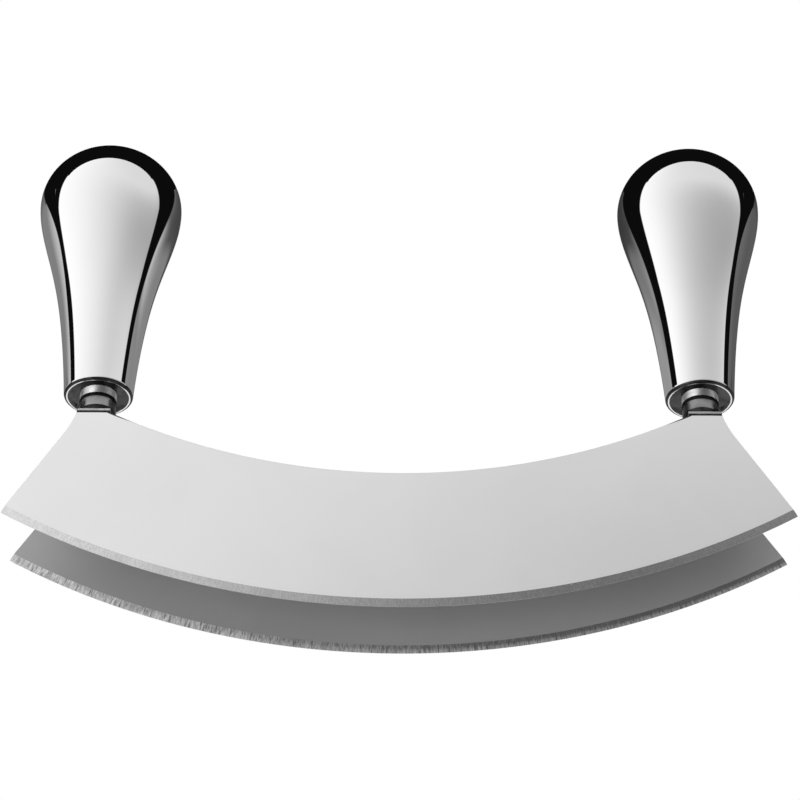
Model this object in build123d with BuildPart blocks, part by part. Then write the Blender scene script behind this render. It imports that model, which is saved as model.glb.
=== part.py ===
# Mezzaluna: two parallel curved chopping blades carried by two hollow handles.
# Frame: X along the blades, Y from the front blade to the rear blade, Z up.
# Origin: floor level under the lowest point of both edges, midway between the blades.

from build123d import *
import os
from math import asin, cos, sqrt

# Blades
blade_span = 240.0
edge_radius = 240.0
blade_height = 46.6
sheet = 1.5
blade_gap = 26.3
bevel_width = 2.4
edge_land = 0.1
side_knee_share = 0.79
side_knee_inset = 0.9

# Tabs folded from the blade sheets, stacked under each handle
handle_inset = 25.4
tab_outer_reach = 4.7
tab_waist_narrowing = 0.75
fold_inner_radius = 1.5
eye_radius = 6.6
screw_hole_clearance = 0.2

# Handles
stem_radius = 5.8
stem_show = 12.4
rim_radius = 10.9
lip_radius = 9.57
lip_round = 1.1
recess_depth = 1.05
shell_wall = 1.0
grip_length = 74.2
bulb_radius = 23.03
dome_height = 20.75
plug_thickness = 5.0
plug_clearance = 0.04
plug_chamfer = 0.4
stem_foot_round = 0.35
grip_height_shares = (1 / 6, 2 / 6, 3 / 6, 4 / 6, 5 / 6)
grip_flare_shares = (0.075, 0.19, 0.35, 0.577, 0.846)
neck_slope_share = 0.065
quarter_ellipse_share = 0.5523

# Screws and washers
screw_radius = 3.0
screw_length = 16.0
screw_head_radius = 5.25
screw_head_height = 3.3
screw_head_round = 2.0
hex_across_flats = 4.0
hex_depth = 2.0
thread_clearance = 0.03
thread_runout = 1.2
screw_tip_chamfer = 0.6
washer_radius = 6.0
washer_thickness = 1.6
washer_chamfer = 0.25

# One overrun for every cut that goes right through
overrun = 5.0

# Places worked out from the sizes above
handle_x = blade_span / 2 - handle_inset
half_gap = blade_gap / 2
outer_face = half_gap + sheet
half_angle = asin(blade_span / 2 / edge_radius)
top_radius = edge_radius - blade_height
tip_z = edge_radius - edge_radius * cos(half_angle)
fold_outer_radius = fold_inner_radius + sheet
tab_inner_x = handle_x - stem_radius
tab_outer_x = handle_x + tab_outer_reach
front_fold_z = edge_radius - sqrt(top_radius**2 - tab_inner_x**2)
rear_fold_z = front_fold_z - sheet
tab_top_z = front_fold_z + fold_outer_radius
tab_bottom_z = tab_top_z - 2 * sheet
rim_z = tab_top_z + stem_show
recess_z = rim_z + recess_depth
plug_top_z = recess_z + plug_thickness
equator_z = rim_z + grip_length
washer_bottom_z = tab_bottom_z - washer_thickness
screw_tip_z = washer_bottom_z + screw_length
bore_top_z = screw_tip_z + thread_runout
screw_hole_radius = screw_radius + screw_hole_clearance


def fold_tab(fold_z):
    """The tab of the front blade's right end: a quarter bend, then a flat eye under the handle."""
    # Side view of the folded strip, drawn beside the tab and extruded across it
    with BuildPart() as tab:
        with BuildSketch(Plane.YZ.offset(tab_inner_x - overrun)):
            with BuildLine():
                bend_y = fold_outer_radius - outer_face
                outer_bend = CenterArc((bend_y, fold_z), fold_outer_radius, 90, 90)
                inner_bend = CenterArc((bend_y, fold_z), fold_inner_radius, 90, 90)
                Line(outer_bend @ 1, inner_bend @ 1)
                Polyline(
                    outer_bend @ 0,
                    (eye_radius, fold_z + fold_outer_radius),
                    (eye_radius, fold_z + fold_inner_radius),
                    inner_bend @ 0,
                )
            make_face()
        extrude(amount=tab_outer_x - tab_inner_x + 2 * overrun)
        # Plan view: full width at the fold, a waist at the end of the bend, a round eye on the handle's axis
        with BuildSketch(Plane.XY.offset(fold_z)):
            with BuildLine():
                waist_y = fold_outer_radius - outer_face
                Polyline(
                    (tab_inner_x, -outer_face),
                    (tab_outer_x, -outer_face),
                    (tab_outer_x - tab_waist_narrowing, waist_y),
                    (handle_x + eye_radius, 0),
                    (handle_x - eye_radius, 0),
                    (tab_inner_x + tab_waist_narrowing, waist_y),
                    close=True,
                )
            make_face()
            with Locations((handle_x, 0)):
                Circle(eye_radius)
                Circle(screw_hole_radius, mode=Mode.SUBTRACT)
        extrude(amount=fold_outer_radius, mode=Mode.INTERSECT)
    return tab.part


def make_blade(fold_z):
    """The front blade, with its fold at this height: curved sheet, ground edge, a tab at each end."""
    tab = fold_tab(fold_z)
    tip = Vector(blade_span / 2, tip_z)
    corner = Vector(tab_outer_x, fold_z)
    side = corner - tip
    inward = Vector(-side.Y, side.X).normalized()
    knee = tip + side * side_knee_share + inward * side_knee_inset
    shoulder_x = sqrt(top_radius**2 - (edge_radius - fold_z) ** 2)
    with BuildPart() as blade:
        # Outline seen from the front
        with BuildSketch(Plane.XZ.offset(half_gap)):
            with BuildLine():
                ThreePointArc((-tip.X, tip.Y), (0, 0), (tip.X, tip.Y))
                side_line = Line(tip, knee)
                side_curve = TangentArc(knee, corner, tangent=side_line % 1)
                shoulder = Line(corner, (shoulder_x, fold_z))
                mirror([side_line, side_curve, shoulder], about=Plane.YZ)
                ThreePointArc((-shoulder_x, fold_z), (0, blade_height), (shoulder_x, fold_z))
            make_face()
        extrude(amount=sheet)
        # Grind both faces down to a narrow land at the cutting edge
        with BuildSketch(Plane.YZ):
            grind_depth = (sheet - edge_land) / 2
            for face_y, inwards in ((-outer_face, 1), (-half_gap, -1)):
                slope = grind_depth / bevel_width * inwards
                with BuildLine():
                    Polyline(
                        (face_y, bevel_width),
                        (face_y + slope * (bevel_width + overrun), -overrun),
                        (face_y - inwards * overrun, -overrun),
                        (face_y - inwards * overrun, bevel_width),
                        close=True,
                    )
                make_face()
        revolve(axis=Axis((0, 0, edge_radius), (0, 1, 0)), mode=Mode.SUBTRACT)
        add(tab)
        add(mirror(tab, about=Plane.YZ, mode=Mode.PRIVATE))
    return blade.part


def grip_points(inset):
    """Points up the grip's flare, from the first above the rim to the last below the bulb, drawn in by inset."""
    flare = bulb_radius - rim_radius
    return [
        (rim_radius + flare * flare_share - inset, grip_length * height_share)
        for height_share, flare_share in zip(grip_height_shares, grip_flare_shares)
    ]


def dome_controls(radius, height):
    """Control points of the quarter ellipse from the bulb's widest ring to the top of its dome."""
    return [
        (radius, grip_length),
        (radius, grip_length + height * quarter_ellipse_share),
        (radius * quarter_ellipse_share, grip_length + height),
        (0, grip_length + height),
    ]


def make_shell():
    """Hollow handle on the Z axis, its rim at Z = 0: rolled lip, flared neck, bulb and closed dome."""
    neck_bore = rim_radius - shell_wall
    with BuildPart() as shell:
        with BuildSketch(Plane.XZ):
            with BuildLine():
                lip_arc = RadiusArc((rim_radius - lip_round, 0), (rim_radius, lip_round), -lip_round)
                outer_grip = Spline(
                    lip_arc @ 1,
                    *grip_points(0),
                    (bulb_radius, grip_length),
                    tangents=[(neck_slope_share, 1), (0, 1)],
                )
                Bezier(*dome_controls(bulb_radius, dome_height))
                Line((0, grip_length + dome_height), (0, grip_length + dome_height - shell_wall))
                Bezier(*dome_controls(bulb_radius - shell_wall, dome_height - shell_wall))
                Spline(
                    (neck_bore, recess_depth),
                    *grip_points(shell_wall),
                    (bulb_radius - shell_wall, grip_length),
                    tangents=[(neck_slope_share, 1), (0, 1)],
                )
                Polyline(
                    (neck_bore, recess_depth),
                    (lip_radius, recess_depth),
                    (lip_radius, 0),
                    lip_arc @ 0,
                )
            make_face()
        revolve(axis=Axis.Z)
    return shell.part


def make_plug():
    """Turned plug on the Z axis: disc inside the neck, stem down to the tabs, blind screw bore."""
    disc_radius = rim_radius - shell_wall - plug_clearance
    stem_length = stem_show + recess_depth
    bore_depth = bore_top_z - tab_top_z
    with BuildPart() as plug:
        with BuildSketch(Plane.XY):
            Circle(stem_radius)
        extrude(amount=stem_length)
        fillet(plug.edges().sort_by(Axis.Z)[0], stem_foot_round)
        with BuildSketch(Plane.XY.offset(stem_length)):
            Circle(disc_radius)
        extrude(amount=plug_thickness)
        chamfer(plug.edges().sort_by(Axis.Z)[-1], plug_chamfer)
        with BuildSketch(Plane.XY):
            Circle(screw_radius + thread_clearance)
        extrude(amount=bore_depth, mode=Mode.SUBTRACT)
    return plug.part


def make_washer():
    """Flat washer on the Z axis, its upper face at Z = 0."""
    with BuildPart() as washer:
        with BuildSketch(Plane.XY):
            Circle(washer_radius)
            Circle(screw_hole_radius, mode=Mode.SUBTRACT)
        extrude(amount=-washer_thickness)
        chamfer(washer.edges().filter_by(GeomType.CIRCLE).sort_by(SortBy.RADIUS)[-2:], washer_chamfer)
    return washer.part


def make_screw():
    """Button head screw on the Z axis, pointing up, the seat of its head at Z = 0."""
    with BuildPart() as screw:
        with BuildSketch(Plane.XY):
            Circle(screw_head_radius)
        extrude(amount=-screw_head_height)
        fillet(screw.edges().sort_by(Axis.Z)[0], screw_head_round)
        with BuildSketch(Plane.XY):
            Circle(screw_radius)
        extrude(amount=screw_length)
        chamfer(screw.edges().sort_by(Axis.Z)[-1], screw_tip_chamfer)
        with BuildSketch(Plane.XY.offset(-screw_head_height)):
            RegularPolygon(hex_across_flats / 2, 6, major_radius=False)
        extrude(amount=hex_depth, mode=Mode.SUBTRACT)
    return screw.part


os.makedirs("parts", exist_ok=True)

# Front blade, as drawn
with BuildPart() as front_blade:
    add(make_blade(front_fold_z))
front_blade.part.label = "front_blade"
export_step(front_blade.part, "parts/front_blade.step")

# Rear blade, facing the other way, its tabs one sheet lower so that they lie under the front blade's
with BuildPart() as rear_blade:
    add(mirror(make_blade(rear_fold_z), about=Plane.XZ, mode=Mode.PRIVATE))
rear_blade.part.label = "rear_blade"
export_step(rear_blade.part, "parts/rear_blade.step")

# One handle assembly at each end: piece name, how it is made, and the height of its own Z = 0
handle_pieces = (
    ("handle_shell", make_shell, rim_z),
    ("handle_plug", make_plug, tab_top_z),
    ("washer", make_washer, tab_bottom_z),
    ("screw", make_screw, washer_bottom_z),
)
for side_name, side_x in (("left", -handle_x), ("right", handle_x)):
    for piece_name, make_piece, piece_z in handle_pieces:
        with BuildPart() as handle_piece:
            with Locations((side_x, 0, piece_z)):
                add(make_piece())
        name = f"{side_name}_{piece_name}"
        handle_piece.part.label = name
        export_step(handle_piece.part, f"parts/{name}.step")
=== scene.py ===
"""Looks of a two-bladed mezzaluna: satin blades, ground edges and mirror-polished hollow handles."""

import logging
import math
from dataclasses import dataclass
from enum import Enum
from functools import reduce
from typing import Callable, Sequence

import bpy
import numpy as np
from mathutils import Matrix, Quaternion, Vector


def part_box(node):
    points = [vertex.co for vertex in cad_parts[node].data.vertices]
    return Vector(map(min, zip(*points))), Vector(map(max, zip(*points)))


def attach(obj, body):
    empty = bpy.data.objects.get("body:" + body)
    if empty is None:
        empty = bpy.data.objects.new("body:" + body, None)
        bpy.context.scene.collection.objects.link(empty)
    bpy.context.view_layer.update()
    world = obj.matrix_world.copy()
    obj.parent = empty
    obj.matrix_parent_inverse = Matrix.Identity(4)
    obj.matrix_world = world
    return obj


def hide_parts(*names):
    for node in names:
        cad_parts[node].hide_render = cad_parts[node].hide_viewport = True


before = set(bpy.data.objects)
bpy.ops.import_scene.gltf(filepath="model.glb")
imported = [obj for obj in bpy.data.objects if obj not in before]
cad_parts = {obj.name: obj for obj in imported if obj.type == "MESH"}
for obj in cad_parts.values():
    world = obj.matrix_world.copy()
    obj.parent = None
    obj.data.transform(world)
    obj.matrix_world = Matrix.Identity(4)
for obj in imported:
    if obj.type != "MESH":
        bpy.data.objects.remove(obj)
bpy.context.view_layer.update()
LOG = logging.getLogger("mezzaluna")
BODY = "root"
MM = 0.001
SMOOTH_ANGLE = math.radians(28)
MERGE_DISTANCE = 0.002 * MM
EDGE_RADIUS = 240.0 * MM
ARC_CENTRE = (0.0, 0.0, EDGE_RADIUS)
NODE_SPACING = 180

Pair = tuple[float, float]
Triple = tuple[float, float, float]
Socket = bpy.types.NodeSocket
Tree = bpy.types.NodeTree
Material = bpy.types.Material
Piece = bpy.types.Object
Face = bpy.types.MeshPolygon


class Slot(Enum):
    """Material slots of the part's record."""

    BLADE = "blade_steel"
    HANDLE = "handle_steel"
    FASTENER = "fastener_steel"


class Side(Enum):
    """The two handles, by the sign of their place along the blades."""

    LEFT = -1
    RIGHT = 1


class Facing(Enum):
    """The two blades, by the sign of the direction that their outer face looks along Y."""

    FRONT = -1
    REAR = 1


def grey(level: float) -> Triple:
    """A colour without a hue."""
    return (level, level, level)


class Nodes:
    """Writes shader nodes into a tree, from left to right."""

    def __init__(self, tree: Tree) -> None:
        """Empties the tree that is written into."""
        self.tree = tree
        self.count = 0
        tree.nodes.clear()

    def add(self, kind: str, inputs: dict | None = None, **settings: object) -> bpy.types.Node:
        """Adds one node.

        Args:
            kind: the node's type name, such as ShaderNodeMath.
            inputs: values or sockets by input name or number.
            settings: the node's own properties.

        Returns:
            The new node.
        """
        node = self.tree.nodes.new(kind)
        node.location = (NODE_SPACING * self.count, 0)
        self.count += 1
        for name, value in settings.items():
            setattr(node, name, value)
        for name, value in (inputs or {}).items():
            self.feed(node.inputs[name], value)
        return node

    def feed(self, socket: Socket, value: object) -> None:
        """Links a socket to an input, or sets the input's own value."""
        if isinstance(value, Socket):
            self.tree.links.new(value, socket)
        else:
            socket.default_value = value

    def end(self, shader: bpy.types.Node, kind: str = "Material") -> None:
        """Ends the tree with a shader as its surface."""
        self.add(f"ShaderNodeOutput{kind}", {"Surface": shader.outputs[0]})

    def math(self, operation: str, *values: object, clamp: bool = False) -> Socket:
        """Adds a Math node and returns its output."""
        node = self.add("ShaderNodeMath", dict(enumerate(values)), operation=operation, use_clamp=clamp)
        return node.outputs[0]

    def mul(self, *values: object) -> Socket:
        """Multiplies values, from the first to the last."""
        return reduce(lambda product, value: self.math("MULTIPLY", product, value), values)

    def plus(self, *values: object) -> Socket:
        """Adds values, from the first to the last."""
        return reduce(lambda total, value: self.math("ADD", total, value), values)

    def minus(self, value: object, less: object) -> Socket:
        """Subtracts the second value from the first."""
        return self.math("SUBTRACT", value, less)

    def over(self, value: object, divisor: object) -> Socket:
        """Divides the first value by the second."""
        return self.math("DIVIDE", value, divisor)

    def line(self, value: object, slope: object, start: object, clamp: bool = False) -> Socket:
        """Multiplies a value by a slope and adds a start."""
        return self.math("MULTIPLY_ADD", value, slope, start, clamp=clamp)

    def ramp(self, value: object, span: tuple, result: tuple = (0.0, 1.0)) -> Socket:
        """Maps a value from one span to another, smoothly and held at both ends.

        Args:
            value: the socket or number to map.
            span: where the change starts and ends.
            result: what comes out at these two.

        Returns:
            The mapped value's socket.
        """
        inputs = dict(enumerate((value, *span, *result)))
        return self.add("ShaderNodeMapRange", inputs, interpolation_type="SMOOTHSTEP").outputs["Result"]

    def blend(self, factor: object, first: object, second: object) -> Socket:
        """Mixes two colours by a factor and returns the result."""
        return self.add("ShaderNodeMix", {0: factor, 6: first, 7: second}, data_type="RGBA").outputs[2]

    def vector(self, operation: str, *values: object) -> Socket:
        """Adds a Vector Math node and returns its vector."""
        return self.add("ShaderNodeVectorMath", dict(enumerate(values)), operation=operation).outputs[0]

    def place(self) -> Socket:
        """Gives the object coordinates."""
        return self.add("ShaderNodeTexCoord").outputs["Object"]

    def split(self, vector: Socket) -> list[Socket]:
        """Gives a vector's X, Y and Z."""
        return self.add("ShaderNodeSeparateXYZ", {0: vector}).outputs.values()

    def from_arc(self, place: Socket) -> tuple[Socket, Socket]:
        """Gives a place as seen from the centre of the blades' arc, and its distance from the arc's axis."""
        shifted = self.vector("SUBTRACT", place, ARC_CENTRE)
        flat = self.vector("MULTIPLY", shifted, (1.0, 0.0, 1.0))
        return shifted, self.add("ShaderNodeVectorMath", {0: flat}, operation="LENGTH").outputs["Value"]


def new_material(name: str) -> tuple[Material, Nodes]:
    """Makes an empty material and the writer of its nodes."""
    material = bpy.data.materials.new(name)
    material.use_nodes = True
    return material, Nodes(material.node_tree)


def new_group(name: str, numbers: dict[str, float], results: Sequence[str]) -> tuple:
    """Starts a shader node group that takes a vector and some numbers, and gives numbers.

    Args:
        name: the group's name.
        numbers: default value by input name.
        results: the outputs' names.

    Returns:
        The node writer, the input sockets by name, and the output node's inputs by name.
    """
    group = bpy.data.node_groups.new(name, "ShaderNodeTree")
    group.interface.new_socket("Vector", in_out="INPUT", socket_type="NodeSocketVector")
    for number, default in numbers.items():
        socket = group.interface.new_socket(number, in_out="INPUT", socket_type="NodeSocketFloat")
        socket.default_value = default
    for result in results:
        group.interface.new_socket(result, in_out="OUTPUT", socket_type="NodeSocketFloat")
    writer = Nodes(group)
    return writer, writer.add("NodeGroupInput").outputs, writer.add("NodeGroupOutput").inputs


def grain_group() -> Tree:
    """Fine lines left by grinding or brushing: one even layer, and sparse deeper scratches.

    Returns:
        The group, with the outputs Lines and Scratches, each from 0 to 1.
    """
    numbers = {"Lines Scale": 1000.0, "Scratch Scale": 300.0, "Scratch Share": 0.3}
    nodes, given, made = new_group("steel_grain", numbers, ("Lines", "Scratches"))
    place, fine, coarse = given["Vector"], given["Lines Scale"], given["Scratch Scale"]
    lines = nodes.add("ShaderNodeTexNoise", {"Vector": place, "Scale": fine, "Detail": 3.0, "Roughness": 0.65})
    cuts = nodes.add("ShaderNodeTexNoise", {"Vector": place, "Scale": coarse, "Detail": 2.0, "Roughness": 0.5})
    edge = nodes.minus(0.72, nodes.mul(given["Scratch Share"], 0.4))
    nodes.feed(made["Lines"], lines.outputs[0])
    nodes.feed(made["Scratches"], nodes.math("DIVIDE", nodes.minus(cuts.outputs[0], edge), 0.12, clamp=True))
    return nodes.tree


def wear_group() -> Tree:
    """Marks of handling and wiping: broad soft clouds and small faint specks.

    Returns:
        The group, with the outputs Clouds and Specks, each from 0 to 1.
    """
    nodes, given, made = new_group("steel_wear", {"Cloud Scale": 25.0, "Speck Scale": 400.0}, ("Clouds", "Specks"))
    inputs = {"Vector": given["Vector"], "Scale": given["Cloud Scale"], "Detail": 4.0, "Distortion": 0.6}
    clouds = nodes.add("ShaderNodeTexNoise", inputs)
    inputs = {"Vector": given["Vector"], "Scale": given["Speck Scale"], "Randomness": 1.0}
    specks = nodes.add("ShaderNodeTexVoronoi", inputs)
    nodes.feed(made["Clouds"], nodes.ramp(clouds.outputs[0], (0.35, 0.68)))
    nodes.feed(made["Specks"], nodes.ramp(specks.outputs["Distance"], (0.06, 0.16), (1.0, 0.0)))
    return nodes.tree


@dataclass(frozen=True)
class SteelFinish:
    """A stainless steel surface, from mirror polish to coarse grinding.

    The grain runs along X, across it, or along the radii of the blades' arc, as stretch and polar say.
    """

    name: str
    color: Triple
    tint: Triple
    roughness: float
    roughness_spread: float = 0.05
    metallic: float = 1.0
    stretch: Triple = (1.0, 1.0, 1.0)
    polar: bool = False
    spread_along_arc: float = 0.0
    lines_scale: float = 1500.0
    scratch_scale: float = 400.0
    scratch_share: float = 0.3
    scratch_tint: float = 0.0
    lines_tint: float = 0.0
    cut_darkness: float = 0.35
    grain_depth: float = 0.002 * MM
    flare: float = 0.0
    cloud_scale: float = 25.0
    speck_scale: float = 400.0
    strip_shade: float = 0.0
    strip_edge: Pair = (237.5 * MM, 239.0 * MM)
    strip_fray: float = 1.4 * MM
    strip_span: Pair = (-97.0 * MM, 80.0 * MM)
    brink_shade: float = 0.0
    brink_darkness: float = 0.05
    brink_edge: Pair = (193.25 * MM, 193.5 * MM)
    brink_width: float = 0.6 * MM
    brink_span: Pair = (78.0 * MM, 90.0 * MM)
    flank_shade: float = 0.0
    flank_darkness: float = 0.1
    flank_axis: float = 94.6 * MM
    flank_span: Pair = (4.2 * MM, 4.9 * MM)

    def dark(self, share: float = 1.0) -> tuple:
        """The tint at a share of its brightness, for a colour socket."""
        return (*(c * share for c in self.tint), 1.0)

    def pattern_vector(self, nodes: Nodes) -> tuple:
        """Gives the coordinates that the grain follows.

        Args:
            nodes: the material's node writer.

        Returns:
            Object coordinates, stretched along the grain, or turned into arc length and radius first. For these the
            direction along the arc and the distance from its axis are the second and third result.
        """
        place = nodes.place()
        along = reach = None
        if self.polar:
            shifted, reach = nodes.from_arc(place)
            along = nodes.vector("NORMALIZE", nodes.vector("CROSS_PRODUCT", shifted, (0.0, 1.0, 0.0)))
            x, y, z = nodes.split(shifted)
            arc = nodes.mul(nodes.math("ARCTAN2", x, nodes.mul(z, -1.0)), EDGE_RADIUS)
            place = nodes.add("ShaderNodeCombineXYZ", {"X": arc, "Y": y, "Z": reach}).outputs[0]
        mapping = nodes.add("ShaderNodeMapping", {"Vector": place, "Scale": self.stretch})
        return mapping.outputs[0], along, reach

    def brink(self, nodes: Nodes, place: Socket) -> Socket:
        """A painted shade line along the blade's rounded top edge, standing for the dark surroundings that the
        rounding mirrors, which thins out away from the tabs.

        Args:
            nodes: the material's node writer.
            place: the object coordinates.

        Returns:
            How dark the line is there.
        """
        width = nodes.ramp(nodes.math("ABSOLUTE", nodes.split(place)[0]), self.brink_span, (0.0, self.brink_width))
        return nodes.ramp(nodes.minus(nodes.from_arc(place)[1], width), self.brink_edge, (self.brink_shade, 0.0))

    def build(self, grain: Tree, wear: Tree) -> Material:
        """Makes the material.

        Args:
            grain: the shared group of grinding lines.
            wear: the shared group of handling marks.

        Returns:
            The finished material.
        """
        material, nodes = new_material(self.name)
        vector, along, reach = self.pattern_vector(nodes)
        plain = nodes.place()
        x, _, z = nodes.split(plain)
        inputs = {
            "Vector": vector,
            "Lines Scale": self.lines_scale,
            "Scratch Scale": self.scratch_scale,
            "Scratch Share": self.scratch_share,
        }
        lines, scratches = nodes.add("ShaderNodeGroup", inputs, node_tree=grain).outputs
        inputs = {"Vector": plain, "Cloud Scale": self.cloud_scale, "Speck Scale": self.speck_scale}
        clouds, specks = nodes.add("ShaderNodeGroup", inputs, node_tree=wear).outputs
        even = nodes.blend(clouds, (*self.color, 1.0), self.dark())
        cut = nodes.mul(scratches, self.scratch_tint)
        cut = nodes.line(nodes.ramp(lines, (0.62, 0.4)), self.lines_tint, cut, clamp=True)
        # Partly grinding marks, partly painted shade: a dark frayed strip along the bevel's top, fading in from the
        # left end to full at the right end, where the bevel catches less light.
        if self.strip_shade:
            frayed = nodes.line(lines, -self.strip_fray, reach)
            strip = nodes.ramp(frayed, self.strip_edge, (self.strip_shade, 0.0))
            cut = nodes.math("ADD", cut, nodes.mul(strip, nodes.ramp(x, self.strip_span)), clamp=True)
        color = nodes.blend(cut, even, self.dark(self.cut_darkness))
        # Painted shade: a dark line along the blade's top edge near the tabs, where the rounded edge would mirror
        # dark surroundings.
        if self.brink_shade:
            color = nodes.blend(self.brink(nodes, plain), color, self.dark(self.brink_darkness))
        # Painted shade: the stem darkens towards its left and right sides along X, where its polish would mirror
        # dark surroundings.
        if self.flank_shade:
            aside = nodes.math("ABSOLUTE", nodes.minus(nodes.math("ABSOLUTE", x), self.flank_axis))
            flank = nodes.ramp(aside, self.flank_span, (0.0, self.flank_shade))
            color = nodes.blend(flank, color, self.dark(self.flank_darkness))
        spread = nodes.mul(nodes.plus(lines, clouds, specks), self.roughness_spread)
        roughness = nodes.math("ADD", spread, self.roughness, clamp=True)
        height = nodes.minus(lines, scratches)
        if self.flare:
            height = nodes.line(z, self.flare / self.grain_depth, height)
        bump = nodes.add("ShaderNodeBump", {"Height": height, "Distance": self.grain_depth, "Strength": 1.0})
        shader = nodes.add(
            "ShaderNodeBsdfPrincipled",
            {"Base Color": color, "Metallic": self.metallic, "Roughness": roughness, "Normal": bump.outputs[0]},
        )
        if along is not None:
            nodes.feed(shader.inputs["Anisotropic"], self.spread_along_arc)
            nodes.feed(shader.inputs["Tangent"], along)
        nodes.end(shader)
        return material


class Bench:
    """Modelling by hand: the few operators that every piece is shaped with."""

    @staticmethod
    def clear() -> None:
        """Leaves edit mode and deselects everything."""
        if bpy.context.object is not None and bpy.context.object.mode != "OBJECT":
            bpy.ops.object.mode_set(mode="OBJECT")
        bpy.ops.object.select_all(action="DESELECT")

    @staticmethod
    def pick(piece: Piece) -> None:
        """Selects one piece and nothing else."""
        Bench.clear()
        bpy.context.view_layer.objects.active = piece
        piece.select_set(True)

    @staticmethod
    def weld() -> None:
        """Merges doubles and leaves everything selected."""
        bpy.ops.mesh.select_all(action="SELECT")
        bpy.ops.mesh.remove_doubles(threshold=MERGE_DISTANCE)
        bpy.ops.mesh.select_all(action="SELECT")

    @staticmethod
    def start(name: str, place: Vector) -> Piece:
        """Adds a primitive and melts it to the single vertex that an outline is drawn from.

        Args:
            name: the piece's name.
            place: where the vertex lies.

        Returns:
            The new object, in edit mode with its vertex selected.
        """
        Bench.clear()
        bpy.ops.mesh.primitive_plane_add(size=MM, location=place)
        piece = bpy.context.object
        piece.name = piece.data.name = name
        bpy.ops.object.transform_apply(location=True, rotation=True, scale=True)
        bpy.ops.object.mode_set(mode="EDIT")
        bpy.ops.mesh.select_mode(type="VERT")
        bpy.ops.mesh.select_all(action="SELECT")
        bpy.ops.mesh.merge(type="CENTER")
        bpy.ops.mesh.select_all(action="SELECT")
        return piece

    @staticmethod
    def draw(points: Sequence[Vector]) -> None:
        """Extrudes the selected vertex or edge along a route that starts where it is."""
        for here, there in zip(points, points[1:]):
            bpy.ops.mesh.extrude_region_move(TRANSFORM_OT_translate={"value": there - here})

    @staticmethod
    def tidy() -> None:
        """Merges doubles and turns every face outwards, then leaves edit mode."""
        Bench.weld()
        bpy.ops.mesh.normals_make_consistent(inside=False)
        bpy.ops.object.mode_set(mode="OBJECT")

    @staticmethod
    def turn(name: str, axis_x: float, outline: Sequence[Pair], steps: int) -> Piece:
        """Turns a closed outline about an upright axis, as on a lathe.

        Args:
            name: the piece's name.
            axis_x: where the axis stands along the blades.
            outline: radius and height of each point, in order.
            steps: faces around.

        Returns:
            The turned piece, in object mode.
        """
        points = [Vector((axis_x + radius, 0.0, height)) for radius, height in outline]
        piece = Bench.start(name, points[0])
        Bench.draw(points)
        bpy.ops.mesh.select_all(action="SELECT")
        bpy.ops.mesh.spin(steps=steps, angle=2 * math.pi, center=(axis_x, 0.0, 0.0), axis=(0.0, 0.0, 1.0))
        Bench.tidy()
        return piece

    @staticmethod
    def modify(piece: Piece, kind: str, **settings: object) -> None:
        """Adds a modifier with these settings and applies it."""
        Bench.pick(piece)
        modifier = piece.modifiers.new(kind.lower(), kind)
        for name, value in settings.items():
            setattr(modifier, name, value)
        bpy.ops.object.modifier_apply(modifier=modifier.name)

    @staticmethod
    def cut(piece: Piece, tool: Piece) -> None:
        """Cuts a piece with a closed tool and throws the tool away."""
        Bench.modify(piece, "BOOLEAN", operation="DIFFERENCE", solver="EXACT", object=tool)
        bpy.data.meshes.remove(tool.data)

    @staticmethod
    def smooth(piece: Piece, limit: float = SMOOTH_ANGLE) -> None:
        """Shades a piece smooth, with sharp edges where its faces turn by more than the limit."""
        Bench.pick(piece)
        bpy.ops.object.shade_smooth_by_angle(angle=limit)

    @staticmethod
    def finish(
        piece: Piece,
        node: str,
        slot: Slot,
        finishes: Sequence[Material],
        choose: Callable[[Face], int] | None = None,
    ) -> None:
        """Shades a piece, gives it its finishes, and puts it in a CAD node's place.

        Args:
            piece: the modelled piece.
            node: the CAD node that it stands for.
            slot: the record's material slot; not used.
            finishes: its materials, the main one first.
            choose: which material a face gets, where there are several.
        """
        Bench.smooth(piece)
        for finish in finishes:
            piece.data.materials.append(finish)
        if choose is not None:
            for polygon in piece.data.polygons:
                polygon.material_index = choose(polygon)
        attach(piece, BODY)
        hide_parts(node)
        LOG.info("%s stands for %s, %d faces", piece.name, node, len(piece.data.polygons))


def turning(steps: int, span: float = math.pi / 2) -> list[float]:
    """Angles from zero to the end of a turn, both among them."""
    return [span * step / steps for step in range(steps + 1)]


def round_corner(before: Pair, corner: Pair, after: Pair, radius: float, steps: int) -> list[Pair]:
    """Rounds a right-angled corner of a lathe outline.

    Args:
        before: the point that the outline comes from.
        corner: the corner itself.
        after: the point that the outline goes to.
        radius: the rounding's radius.
        steps: faces in the rounding.

    Returns:
        The points of the rounding, in order.
    """
    tip = Vector(corner)
    back = (Vector(before) - tip).normalized() * radius
    on = (Vector(after) - tip).normalized() * radius
    centre = tip + back + on
    points = []
    for angle in turning(steps):
        point = centre - on * math.cos(angle) - back * math.sin(angle)
        points.append((point.x, point.y))
    return points


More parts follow.
